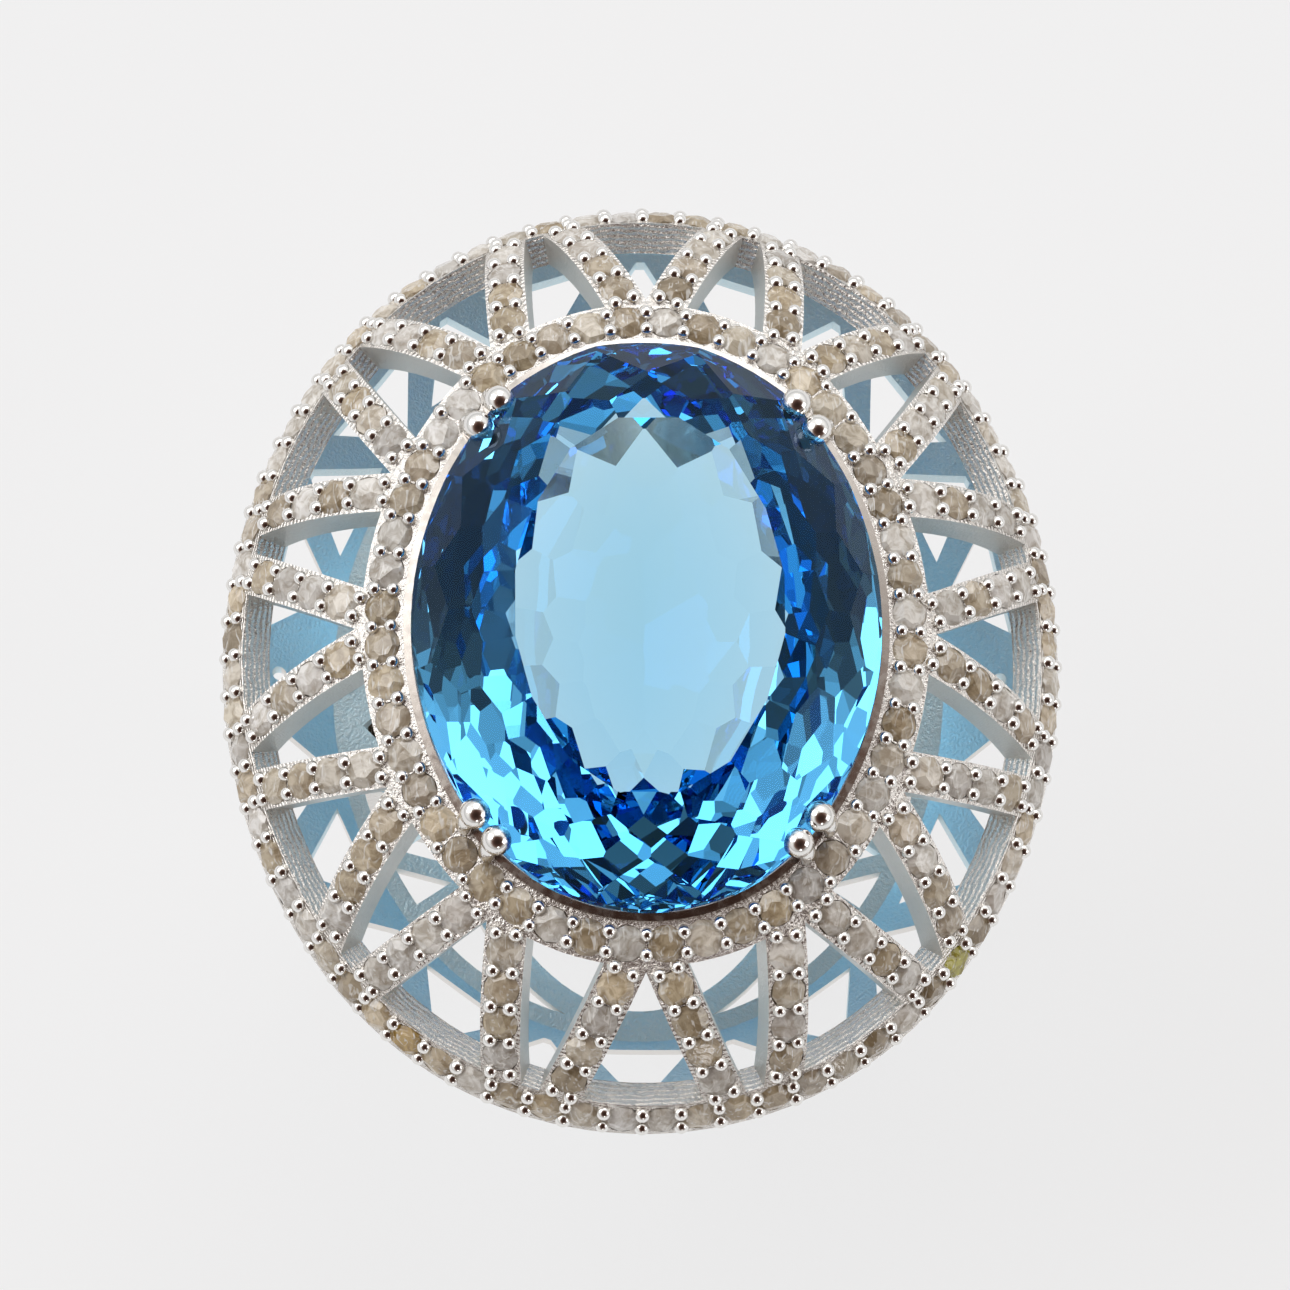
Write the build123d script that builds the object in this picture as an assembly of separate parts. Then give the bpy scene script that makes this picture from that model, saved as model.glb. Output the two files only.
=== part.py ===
from build123d import *
import os
from math import atan2, cos, degrees, hypot, radians, sin, tan

# A cocktail ring for a finger: a large oval faceted stone in a collet with eight claws, ringed by a halo
# of small stones, on an openwork dome of twelve V-shaped struts that ends in a stone-set rim band.
# Under the rim a pierced gallery closes the head and stands on the shoulders of the finger band.
#
# Frame: millimetres, origin at the centre of the finger hole, +Y along the finger, +Z through the head.
# Heights inside the head are first given from the girdle plane of the centre stone, as "h".

# ---------------------------------------------------------------- driving dimensions
FINGER_RADIUS = 8.67          # finger hole of a US size 7, 17.35 mm across
GIRDLE_HEIGHT = 17.9          # from the hole's centre up to the centre stone's girdle
STONE_HALF_WIDTH = 8.0        # centre stone, 16 mm wide
STONE_HALF_LENGTH = 10.0      # centre stone, 20 mm long
END_RADIUS = 7.0              # tighter arcs of the four-arc oval, at its two ends

DOME_RADIUS = 8.86            # outer surface of the dome, in the section across it
DOME_WALL = 1.1
HALO_START, HALO_END = 12.0, 21.7      # slopes of the dome's surface at each band's edges, in degrees
RIM_START, RIM_END = 56.3, 66.0
HALO_GAP = 0.30               # plan distance from the girdle to the halo's inner edge
HALO_DROP = 0.45              # the halo's inner edge lies this far under the girdle

SECTORS = 12                  # the pattern of struts repeats twelve times
STRUT_WIDTH = 1.42
STRUT_SPREAD_HALO = 0.68      # half the distance between the two legs of a V where they meet the halo
STRUT_SPREAD_RIM = 1.05       # half the distance between two neighbouring legs at the rim
LEG_STONES = 4
LEG_PITCH = 1.28
LEG_OVERRUN = 3.0             # a leg's slab is this much longer than the leg, so both bands trim it
SLAB_DEPTH = 8.0
HALO_STONES = 48
RIM_STONES = 72

SMALL_RADIUS = 0.60           # small stones, 1.2 mm single cuts
SMALL_TABLE = 0.33
SMALL_CROWN = 0.20
SMALL_PAVILION = 0.40
SMALL_SUNK = 0.06             # girdle of a small stone under the metal's surface
SEAT_PLAY = 0.03
SEAT_REACH = 0.5              # how far a seat's drill stands out of the metal
GRAIN_RADIUS = 0.21
GRAIN_STEM = 0.06
GRAIN_ASIDE = 0.46            # a grain's distance from the middle line of its row
GRAIN_CLEAR = 0.004           # a grain's flat foot clears the curved surface by this much

PLATE_TOP, PLATE_BOTTOM = -8.3, -9.1   # gallery's base ring, heights from the girdle
BASE_INNER, BASE_OUTER = 2.15, 2.95    # base ring's edges, plan distance from the girdle outline
SKIRT_WINDOWS = 24            # pierced round the skirt, every second one upside down
SKIRT_STRUT = 0.66            # metal left between two windows
WINDOW_NEAR, WINDOW_FAR = 3.25, 5.15   # the windows' inner and outer edges, plan distances
INNER_HALF_WIDTH, INNER_HALF_LENGTH = 7.1, 12.1   # middle line of the inner oval ring
INNER_WIDTH = 0.85
ARM_WIDTH = 0.62
ARM_ENDS = [(4.3, 3.2), (4.3, 6.1), (7.0, 6.1), (7.0, 8.4)]   # each arm's y on the inner ring and base ring
SHOULDER_PLATE_X, SHOULDER_PLATE_WIDTH, SHOULDER_PLATE_LENGTH = 8.8, 3.4, 6.0
SQUARE_HOLE_X, SQUARE_HOLE_Y, SQUARE_HOLE_SIDE = 8.75, 1.5, 1.3
DOT_HOLE_X, DOT_HOLE_RADIUS = 12.6, 0.25   # a small round hole in the skirt over each shoulder

BAND_RADIUS = 10.3            # outside of the finger band
BAND_END_ANGLE = 52.0         # the band's two ends stop this far above the horizontal
SHOULDER_TOP = GIRDLE_HEIGHT + PLATE_BOTTOM

# ---------------------------------------------------------------- the four-arc oval
# Two end arcs of END_RADIUS centred on the Y axis and two side arcs centred on the X axis, all tangent.
END_CENTRE = STONE_HALF_LENGTH - END_RADIUS
SIDE_RADIUS = (STONE_HALF_WIDTH**2 + END_CENTRE**2 - END_RADIUS**2) / (2 * (STONE_HALF_WIDTH - END_RADIUS))
SIDE_CENTRE = SIDE_RADIUS - STONE_HALF_WIDTH
JOIN_ANGLE = degrees(atan2(END_CENTRE, SIDE_CENTRE))   # where side and end arcs meet, from the X axis

# arcs in the order met from the -Y end, counter-clockwise: centre, girdle radius, first angle, last angle
ARCS = [
    ((0, -END_CENTRE), END_RADIUS, -90, -JOIN_ANGLE),
    ((-SIDE_CENTRE, 0), SIDE_RADIUS, -JOIN_ANGLE, JOIN_ANGLE),
    ((0, END_CENTRE), END_RADIUS, JOIN_ANGLE, 180 - JOIN_ANGLE),
    ((SIDE_CENTRE, 0), SIDE_RADIUS, 180 - JOIN_ANGLE, 180 + JOIN_ANGLE),
    ((0, -END_CENTRE), END_RADIUS, 180 + JOIN_ANGLE, 270),
]


def arc_lengths(offset):
    return [radians(last - first) * (radius + offset) for _, radius, first, last in ARCS]


def perimeter(offset):
    return sum(arc_lengths(offset))


def on_oval(length, offset):
    """Point and outward direction, in plan, at a length along the oval that lies offset outside the girdle."""
    length %= perimeter(offset)
    for (centre, radius, first, last), span in zip(ARCS, arc_lengths(offset)):
        if length <= span:
            angle = radians(first) + length / (radius + offset)
            out = Vector(cos(angle), sin(angle))
            return Vector(*centre) + out * (radius + offset), out
        length -= span
    return on_oval(0, offset)


def largest(shape):
    """The biggest solid of a cut shape, without the crumbs of the cut."""
    return shape.solids().sort_by(SortBy.VOLUME)[-1]


def around(section):
    """Turns a closed section, points of (plan distance from the girdle outline, height), into an oval ring."""
    pieces = []
    front_arc = ((0, -END_CENTRE), END_RADIUS, 180 + JOIN_ANGLE, 360 - JOIN_ANGLE)
    for centre, radius, first, last in [*ARCS[1:4], front_arc]:
        plane = Plane(origin=(*centre, GIRDLE_HEIGHT), x_dir=(1, 0, 0), z_dir=(0, -1, 0))
        outline = section(radius)
        face = Rot(Z=first) * (plane * outline).moved(Location((-centre[0], -centre[1], 0)))
        face = face.moved(Location((*centre, 0)))
        axis = Axis((*centre, 0), (0, 0, 1))
        pieces.append(revolve(face, axis, revolution_arc=last - first))
    return pieces[0].fuse(*pieces[1:]).clean().solid()


def polygon_section(points):
    """A section with straight sides, for around()."""
    return lambda radius: make_face(Polyline(*[(radius + p, h) for p, h in points], close=True))


# ---------------------------------------------------------------- the dome's section
DOME_PLAN = HALO_GAP - DOME_RADIUS * sin(radians(HALO_START))     # the section arc's centre
DOME_LOW = -HALO_DROP - DOME_RADIUS * cos(radians(HALO_START))


def dome_point(slope, depth=0.0):
    """Plan distance and height of the dome's surface where it slopes by so many degrees, or under it."""
    reach = DOME_RADIUS - depth
    return DOME_PLAN + reach * sin(radians(slope)), DOME_LOW + reach * cos(radians(slope))


def dome_section(first, last):
    """The section of a band of the dome between two slopes."""
    middle = (first + last) / 2

    def section(radius):
        def at(slope, depth):
            plan, height = dome_point(slope, depth)
            return (radius + plan, height)

        edges = [
            ThreePointArc(at(first, 0), at(middle, 0), at(last, 0)),
            Line(at(last, 0), at(last, DOME_WALL)),
            ThreePointArc(at(last, DOME_WALL), at(middle, DOME_WALL), at(first, DOME_WALL)),
            Line(at(first, DOME_WALL), at(first, 0)),
        ]
        return make_face(edges)

    return section


def on_dome(length, slope):
    """Point and normal on the dome's surface at a length along the oval that has this slope."""
    plan, height = dome_point(slope)
    point, out = on_oval(length, plan)
    normal = Vector(out.X * sin(radians(slope)), out.Y * sin(radians(slope)), cos(radians(slope)))
    return Vector(point.X, point.Y, GIRDLE_HEIGHT + height), normal


def nearest_on_dome(point):
    """The dome's surface point nearest to a point near it, with the normal there."""
    x, y, z = point.X, point.Y, point.Z - GIRDLE_HEIGHT
    side = abs(y) * SIDE_CENTRE <= END_CENTRE * (abs(x) + SIDE_CENTRE)
    centre = (-SIDE_CENTRE if x > 0 else SIDE_CENTRE, 0) if side else (0, END_CENTRE if y > 0 else -END_CENTRE)
    radius = SIDE_RADIUS if side else END_RADIUS
    across = hypot(x - centre[0], y - centre[1])
    out = Vector((x - centre[0]) / across, (y - centre[1]) / across)
    slope = atan2(across - radius - DOME_PLAN, z - DOME_LOW)
    plan = radius + DOME_PLAN + DOME_RADIUS * sin(slope)
    height = GIRDLE_HEIGHT + DOME_LOW + DOME_RADIUS * cos(slope)
    normal = Vector(out.X * sin(slope), out.Y * sin(slope), cos(slope))
    return Vector(centre[0] + out.X * plan, centre[1] + out.Y * plan, height), normal


# ---------------------------------------------------------------- small stones, their seats and grains
def single_cut():
    """A small single-cut stone: table, eight crown facets, eight pavilion facets; girdle at z 0."""
    table = Plane.XY.offset(SMALL_CROWN) * RegularPolygon(SMALL_TABLE, 8)
    girdle = RegularPolygon(SMALL_RADIUS, 8)
    crown = loft([girdle, table], ruled=True)
    tip = Vertex(0, 0, -SMALL_PAVILION)
    pavilion = loft([tip, girdle], ruled=True)
    return (crown + pavilion).solid()


def seat():
    """What is drilled out for a small stone: a cone under its girdle and a straight wall above it."""
    wide = SMALL_RADIUS + SEAT_PLAY
    deep = SMALL_PAVILION + SEAT_PLAY
    drill = make_face(Polyline((0, -deep), (wide, -SEAT_PLAY), (wide, SEAT_REACH), (0, SEAT_REACH), close=True))
    return revolve(Plane.XZ * drill, Axis.Z)


def grain():
    """One raised grain of metal: a short stem with a round head, standing on z 0."""
    side = Polyline((0, GRAIN_STEM + GRAIN_RADIUS), (0, 0), (GRAIN_RADIUS, 0), (GRAIN_RADIUS, GRAIN_STEM))
    head = CenterArc((0, GRAIN_STEM), GRAIN_RADIUS, 0, 90)
    return revolve(Plane.XZ * make_face([side, head]), Axis.Z).solid()


STONE = single_cut()
SEAT = seat()
GRAIN = grain()


def frame_at(point, normal, along):
    return Location(Plane(origin=point, x_dir=along, z_dir=normal))


TRAVEL_STEP = 0.1             # a short step along a row, which gives its direction


class Row:
    """A row of small stones: where each one sits, and where the grains between them stand."""

    def __init__(self):
        self.stones = []
        self.grains = []

    def add_stone(self, point, normal, along):
        self.stones.append(frame_at(point - normal * SMALL_SUNK, normal, along))

    def add_grain_pair(self, point, normal, along, sides=(-1, 1)):
        aside = normal.cross(along).normalized()
        for side in sides:
            foot, up = nearest_on_dome(point + aside * side * GRAIN_ASIDE)
            self.grains.append(frame_at(foot + up * GRAIN_CLEAR, up, along))

    def stone_solids(self):
        return [STONE.moved(place) for place in self.stones]

    def seats(self):
        return [SEAT.moved(place) for place in self.stones]

    def grain_solids(self):
        return [GRAIN.moved(place) for place in self.grains]


def band_frame(length, slope):
    """Point, normal and direction of travel at a length along a band of the dome."""
    point, normal = on_dome(length, slope)
    ahead, _ = on_dome(length + TRAVEL_STEP, slope)
    return point, normal, (ahead - point).normalized()


def band_row(count, slope, claw_gaps=()):
    """A closed row of stones along the middle of a band, with two grains in each gap, or one beside a claw."""
    row = Row()
    pitch = perimeter(dome_point(slope)[0]) / count
    for i in range(count):
        row.add_stone(*band_frame((i + 0.5) * pitch, slope))
        row.add_grain_pair(*band_frame(i * pitch, slope), (-1,) if i in claw_gaps else (-1, 1))
    return row


# ---------------------------------------------------------------- struts
HALO_OVAL = perimeter(dome_point(HALO_END)[0])
RIM_OVAL = perimeter(dome_point(RIM_START)[0])
SURFACE_ROUNDS = 8            # rounds that bring a point onto the dome's surface


def leg(apex, side):
    """One leg of a V: the slab that is kept of the dome, and its row of stones. side is -1 or 1."""
    top, _ = on_dome(apex * HALO_OVAL / SECTORS + side * STRUT_SPREAD_HALO, HALO_END)
    foot, _ = on_dome((apex + side / 2) * RIM_OVAL / SECTORS - side * STRUT_SPREAD_RIM, RIM_START)
    middle = (top + foot) * 0.5
    _, normal = nearest_on_dome(middle)
    along = (foot - top).normalized()
    up = (normal - along * normal.dot(along)).normalized()
    slab = frame_at(middle, up, along) * Box((foot - top).length + LEG_OVERRUN, STRUT_WIDTH, SLAB_DEPTH)
    row = Row()

    def surface_at(distance):
        """Where the leg's middle plane meets the dome, straight above this place on the chord."""
        chord = middle + along * distance
        found, found_up = nearest_on_dome(chord)
        for _ in range(SURFACE_ROUNDS):
            found, found_up = nearest_on_dome(chord + up * (found - chord).dot(up))
        return found, found_up

    def leg_frame(distance):
        point, outward = surface_at(distance)
        return point, outward, (along - outward * along.dot(outward)).normalized()

    for i in range(LEG_STONES):
        row.add_stone(*leg_frame((i - (LEG_STONES - 1) / 2) * LEG_PITCH))
    for i in range(LEG_STONES + 1):
        row.add_grain_pair(*leg_frame((i - LEG_STONES / 2) * LEG_PITCH))
    return slab, row


def v_strut(apex, openwork):
    """The two legs that leave the halo at one apex, joined there, with their seats drilled."""
    slabs, rows = zip(*(leg(apex, side) for side in (-1, 1)))
    legs = [(openwork & slab).solid() for slab in slabs]
    body = legs[0].fuse(legs[1]).clean()
    return body.cut(*[s for row in rows for s in row.seats()]), rows


# ---------------------------------------------------------------- centre stone
TABLE_HEIGHT = 2.62
GIRDLE_THICK = 0.3
ROUGH_DEPTH = 9.0             # of the rough block under the girdle, before the pavilion is cut


def facet(length, shrink, height, slope):
    """The plane of one facet: touches the oval that is shrink inside the girdle, at this height and slope."""
    point, out = on_oval(length * perimeter(-shrink), -shrink)
    rise = radians(slope)
    normal = Vector(out.X * sin(rise), out.Y * sin(rise), cos(rise) if height > 0 else -cos(rise))
    return Plane(origin=(point.X, point.Y, GIRDLE_HEIGHT + height), z_dir=normal)


def tiers(steps, sign):
    """Facets in tiers from the girdle inwards; each step is (plan width, slope, count, shift in facets)."""
    planes = []
    inset, height = 0.0, GIRDLE_THICK / 2
    for width, slope, count, shift in steps:
        rise = tan(radians(slope))
        level = height + width / 2 * rise
        planes += [facet((i + shift) / count, inset + width / 2, sign * level, slope) for i in range(count)]
        inset += width
        height += width * rise
    return planes


CROWN_TIERS = [(1.0, 46, 16, 0.0), (1.2, 36, 16, 0.5), (1.3, 24, 16, 0.0)]
PAVILION_TIERS = [
    (0.9, 60, 16, 0.5), (1.15, 50, 16, 0.0), (1.25, 42.5, 16, 0.5),
    (1.35, 34, 16, 0.0), (1.2, 28, 16, 0.5), (1.15, 20.5, 16, 0.0),
]


def centre_stone():
    """An oval with tiers of staggered facets above and below the girdle, cut one plane at a time."""
    girdle = make_face([
        CenterArc(centre, radius, first, last - first) for centre, radius, first, last in ARCS
    ])
    girdle = Plane.XY.offset(GIRDLE_HEIGHT - ROUGH_DEPTH) * girdle
    stone = extrude(girdle, ROUGH_DEPTH + TABLE_HEIGHT)
    for plane in tiers(CROWN_TIERS, 1) + tiers(PAVILION_TIERS, -1):
        stone = split(stone, bisect_by=plane, keep=Keep.BOTTOM)
    return stone.solid()


# ---------------------------------------------------------------- collet and claws
CLAW_PLACES = (5, 6)          # gaps of the halo's row, counted from each end of the oval, that hold a claw
CLAW_RADIUS = 0.34
CLAW_TIP_RADIUS = 0.53
# points of (plan distance from the girdle outline, height): the claw's middle line, and its round tip
CLAW_LINE = [(0.26, -1.5), (0.32, -0.3), (0.24, 0.35), (-0.05, 0.60)]
CLAW_TIP = (-0.05, 0.56)
# the collet's inner side, from its rim down along the seat to its foot
COLLET_INSIDE = [(0.04, -0.22), (-0.02, -0.38), (-0.62, -1.45), (-0.95, -2.6), (-0.50, -2.6)]
COLLET_RIM = -0.28


def collet():
    """The thin oval wall round the centre stone, with the seat that its pavilion rests on."""
    top = dome_point(HALO_START)
    low = dome_point(HALO_START, DOME_WALL)
    return around(polygon_section([top, (top[0], COLLET_RIM), *COLLET_INSIDE, low]))


def claw(gap, stone):
    """A round wire that stands in one gap of the halo's row and bends over the girdle, notched for the stone."""
    plan, _ = dome_point((HALO_START + HALO_END) / 2)
    point, out = on_oval(gap * perimeter(plan) / HALO_STONES, plan)
    point -= out * plan

    def at(plan, height):
        return Vector(point.X + out.X * plan, point.Y + out.Y * plan, GIRDLE_HEIGHT + height)

    path = Spline(*[at(*place) for place in CLAW_LINE])
    section = Plane(origin=path @ 0, z_dir=path % 0) * Circle(CLAW_RADIUS)
    wire = sweep(section, path=path)
    tip = Pos(at(*CLAW_TIP)) * Sphere(CLAW_TIP_RADIUS)
    return largest((wire + tip) - stone)


# ---------------------------------------------------------------- under-gallery
FLANGE_OUTER, FLANGE_INNER = dome_point(RIM_END), dome_point(RIM_END, DOME_WALL)
FLANGE_SIDE = 6.1             # depths below the girdle: the flange's upright side, and its underside
FLANGE_LOW = 7.05
FLANGE_LIP = 0.15             # the flange reaches this far inside the rim band's inner edge
SKIRT_OVERLAP = 0.05
SKIRT_ABOVE = 0.25            # the skirt starts this far under the flange's inner edge
CUT_LOW, CUT_HEIGHT = -12.0, 8.0       # the upright cut through the skirt, height from the girdle
WINDOW_WIDE, WINDOW_NARROW = 0.70, 0.05   # half widths of a window's two ends, in pitches


def skirt_window(number):
    """One triangular window, upright through the skirt; even ones point outwards, odd ones inwards."""
    def corner(shift, plan):
        pitch = perimeter(plan) / SKIRT_WINDOWS
        point, _ = on_oval(number * pitch + shift * (pitch - SKIRT_STRUT), plan)
        return (point.X, point.Y)

    wide, narrow = (WINDOW_NEAR, WINDOW_FAR) if number % 2 == 0 else (WINDOW_FAR, WINDOW_NEAR)
    outline = Polyline(
        corner(-WINDOW_WIDE, wide), corner(WINDOW_WIDE, wide),
        corner(WINDOW_NARROW, narrow), corner(-WINDOW_NARROW, narrow), close=True)
    return extrude(Plane.XY.offset(GIRDLE_HEIGHT + CUT_LOW) * make_face(outline), CUT_HEIGHT)


def inner_ring(plate_middle, plate_thick):
    """The oval ring round the open middle, narrower than the base ring and meeting it at both ends."""
    outer = Ellipse(INNER_HALF_WIDTH + INNER_WIDTH / 2, INNER_HALF_LENGTH + INNER_WIDTH / 2)
    inner = Ellipse(INNER_HALF_WIDTH - INNER_WIDTH / 2, INNER_HALF_LENGTH - INNER_WIDTH / 2)
    return extrude(Plane.XY.offset(plate_middle - plate_thick / 2) * (outer - inner), plate_thick)


def arms(plate_middle, plate_thick):
    """Short arms that cross, two and two, between the inner oval ring and the base ring's side arcs."""
    base_radius = SIDE_RADIUS + (BASE_INNER + BASE_OUTER) / 2
    made = []
    for ring_y, base_y in ARM_ENDS:
        ring_x = INNER_HALF_WIDTH * (1 - (ring_y / INNER_HALF_LENGTH) ** 2) ** 0.5
        base_x = (base_radius**2 - base_y**2) ** 0.5 - SIDE_CENTRE
        for x_side in (-1, 1):
            for y_side in (-1, 1):
                start = Vector(x_side * ring_x, y_side * ring_y, plate_middle)
                line = Vector(x_side * base_x, y_side * base_y, plate_middle) - start
                arm = Box(line.length, ARM_WIDTH, plate_thick)
                made.append(frame_at(start + line * 0.5, (0, 0, 1), line) * arm)
    return made


def shoulder_plates(plate_middle, plate_thick):
    """Solid plates over the finger band's shoulders, each with two square holes set on their corners."""
    made = []
    hole = Rot(Z=45) * Box(SQUARE_HOLE_SIDE, SQUARE_HOLE_SIDE, 2 * plate_thick)
    for side in (-1, 1):
        plate = Pos(side * SHOULDER_PLATE_X, 0, plate_middle) * Box(
            SHOULDER_PLATE_WIDTH, SHOULDER_PLATE_LENGTH, plate_thick)
        for end in (-1, 1):
            plate -= Pos(side * SQUARE_HOLE_X, end * SQUARE_HOLE_Y, plate_middle) * hole
        made.append(plate.solid())
    return made


def under_gallery():
    """The pierced lower part of the head: flange, sloping skirt, base ring, arms and inner oval ring."""
    rim_plan, rim_height = FLANGE_INNER
    flange = around(polygon_section([
        FLANGE_INNER, FLANGE_OUTER,
        (FLANGE_OUTER[0] - 0.12, -FLANGE_SIDE), (FLANGE_OUTER[0] - 0.5, -FLANGE_LOW),
        (rim_plan - FLANGE_LIP, -FLANGE_LOW - 0.1), (rim_plan - FLANGE_LIP, rim_height - 0.2),
    ]))
    skirt_foot = BASE_OUTER - 0.2
    skirt = around(polygon_section([
        (skirt_foot, PLATE_TOP), (rim_plan + SKIRT_OVERLAP, rim_height - SKIRT_ABOVE),
        (rim_plan + SKIRT_OVERLAP, -FLANGE_LOW), (skirt_foot, PLATE_BOTTOM),
    ]))
    shoulders = (SKIRT_WINDOWS // 4, 3 * SKIRT_WINDOWS // 4)
    skirt = skirt.cut(*[skirt_window(i) for i in range(SKIRT_WINDOWS) if i not in shoulders])
    drill = Cylinder(DOT_HOLE_RADIUS, CUT_HEIGHT)
    skirt = skirt.cut(*[Pos(side * DOT_HOLE_X, 0, GIRDLE_HEIGHT - CUT_HEIGHT) * drill for side in (-1, 1)])
    base = around(polygon_section([
        (BASE_INNER, PLATE_BOTTOM), (BASE_OUTER, PLATE_BOTTOM), (BASE_OUTER, PLATE_TOP), (BASE_INNER, PLATE_TOP),
    ]))
    plate_middle = GIRDLE_HEIGHT + (PLATE_TOP + PLATE_BOTTOM) / 2
    plate_thick = PLATE_TOP - PLATE_BOTTOM
    flat_parts = [inner_ring(plate_middle, plate_thick).solid(), *arms(plate_middle, plate_thick)]
    flat_parts += shoulder_plates(plate_middle, plate_thick)
    return largest(base.fuse(flange, *skirt.solids(), *flat_parts).clean())


# ---------------------------------------------------------------- finger band
BAND_END_X = FINGER_RADIUS * cos(radians(BAND_END_ANGLE))
# outlines across the finger, for the +X side: a leaning outer post and an upright inner post
OUTER_POST = [
    (BAND_RADIUS - 1.5, -1.5), (BAND_RADIUS - 0.13, -1.5), (10.75, 4.5),
    (10.9, SHOULDER_TOP), (9.5, SHOULDER_TOP), (9.3, 4.6),
]
INNER_POST = [(BAND_END_X, 5.0), (BAND_END_X, SHOULDER_TOP), (7.4, SHOULDER_TOP), (7.4, 5.0)]
# half the band's width along the finger, and the height where it has it
BAND_WIDTHS = [(1.6, -11.0), (1.75, -4.0), (2.9, SHOULDER_TOP)]
BLOCK_WIDTH, BLOCK_HEIGHT = 30.0, 10.0    # of the block that trims everything above the shoulders
END_CUT_MIDDLE, END_CUT_HEIGHT = 8.0, 8.0   # of the block that opens the band between its two ends
BAND_REACH_ALONG, BAND_REACH_ACROSS = 5.0, 14.0


def finger_band():
    """The band round the finger, with pierced shoulders that rise to the gallery's base ring."""
    outline = Circle(BAND_RADIUS)
    for post in (OUTER_POST, INNER_POST):
        for side in (-1, 1):
            outline += make_face(Polyline(*[(side * x, y) for x, y in post], close=True))
    outline -= Circle(FINGER_RADIUS)
    outline -= Pos(0, SHOULDER_TOP + BLOCK_HEIGHT / 2) * Rectangle(BLOCK_WIDTH, BLOCK_HEIGHT)
    outline -= Pos(0, END_CUT_MIDDLE) * Rectangle(2 * BAND_END_X, END_CUT_HEIGHT)
    across = extrude(Plane.XZ * outline, BAND_REACH_ALONG, both=True)
    left = [(-half, height) for half, height in reversed(BAND_WIDTHS)]
    widths = make_face(Polyline(*BAND_WIDTHS, *left, close=True))
    return largest(across & extrude(Plane.YZ * widths, BAND_REACH_ACROSS, both=True))


# ---------------------------------------------------------------- everything, one file for each node
def save(name, solids):
    shape = solids[0] if len(solids) == 1 else Compound(children=list(solids))
    export_step(shape, f"parts/{name}.step")


def main():
    os.makedirs("parts", exist_ok=True)
    save("finger_band", [finger_band()])
    save("under_gallery", [under_gallery()])

    stone = centre_stone()
    save("centre_stone", [stone])
    corners = {"se": (0, 1), "ne": (HALO_STONES // 2, -1), "nw": (HALO_STONES // 2, 1), "sw": (HALO_STONES, -1)}
    claws = {}
    claw_gaps = []
    for corner, (end, way) in corners.items():
        for number, place in enumerate(CLAW_PLACES, 1):
            claws[f"claw_{corner}_{number}"] = claw(end + way * place, stone)
            claw_gaps.append(end + way * place)
    for name, solid in claws.items():
        save(name, [solid])
    save("collet", [largest(collet().cut(stone, *claws.values()))])

    halo_row = band_row(HALO_STONES, (HALO_START + HALO_END) / 2, claw_gaps)
    rim_row = band_row(RIM_STONES, (RIM_START + RIM_END) / 2)
    halo = around(dome_section(HALO_START, HALO_END))
    save("halo_band", [largest(halo.cut(*claws.values(), *halo_row.seats()))])
    rim = around(dome_section(RIM_START, RIM_END))
    save("rim_band", [largest(rim.cut(*rim_row.seats()))])
    save("halo_grains", halo_row.grain_solids())
    save("rim_grains", rim_row.grain_solids())
    save("halo_stones", halo_row.stone_solids())
    save("rim_stones", rim_row.stone_solids())

    openwork = around(dome_section(HALO_END, RIM_START))
    strut_grains = []
    for apex in range(SECTORS):
        body, rows = v_strut(apex, openwork)
        number = f"{apex + 1:02d}"
        save(f"v_strut_{number}", [largest(body)])
        save(f"strut_stones_{number}", [s for row in rows for s in row.stone_solids()])
        strut_grains += [g for row in rows for g in row.grain_solids()]
    save("strut_grains", strut_grains)


main()
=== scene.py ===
import math
import random

import bmesh
import bpy
from bpy.props import FloatProperty, FloatVectorProperty, IntProperty, PointerProperty
from bpy.types import NodeSocket, Operator, Panel, PropertyGroup
from mathutils import Matrix, Vector


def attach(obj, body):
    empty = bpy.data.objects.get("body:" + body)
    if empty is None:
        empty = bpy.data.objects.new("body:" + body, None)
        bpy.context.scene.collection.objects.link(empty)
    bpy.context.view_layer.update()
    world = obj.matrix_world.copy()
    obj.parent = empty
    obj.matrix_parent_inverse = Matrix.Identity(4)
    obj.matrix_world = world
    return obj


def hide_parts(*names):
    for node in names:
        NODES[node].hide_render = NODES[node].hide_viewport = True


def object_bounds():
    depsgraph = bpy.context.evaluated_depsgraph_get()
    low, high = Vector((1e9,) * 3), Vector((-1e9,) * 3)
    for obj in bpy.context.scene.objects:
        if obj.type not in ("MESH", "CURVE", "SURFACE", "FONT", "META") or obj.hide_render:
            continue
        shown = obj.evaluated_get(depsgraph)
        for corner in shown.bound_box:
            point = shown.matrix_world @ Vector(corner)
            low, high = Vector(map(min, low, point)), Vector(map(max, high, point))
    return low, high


bl_info = {
    "name": "Cocktail ring with an openwork dome",
    "version": (1, 0, 0),
    "blender": (4, 5, 0),
    "location": "3D View > Sidebar > Ring",
    "description": "Cuts the stones, rounds the grains and finishes the metal of a cocktail ring",
    "category": "Object",
}

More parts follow.
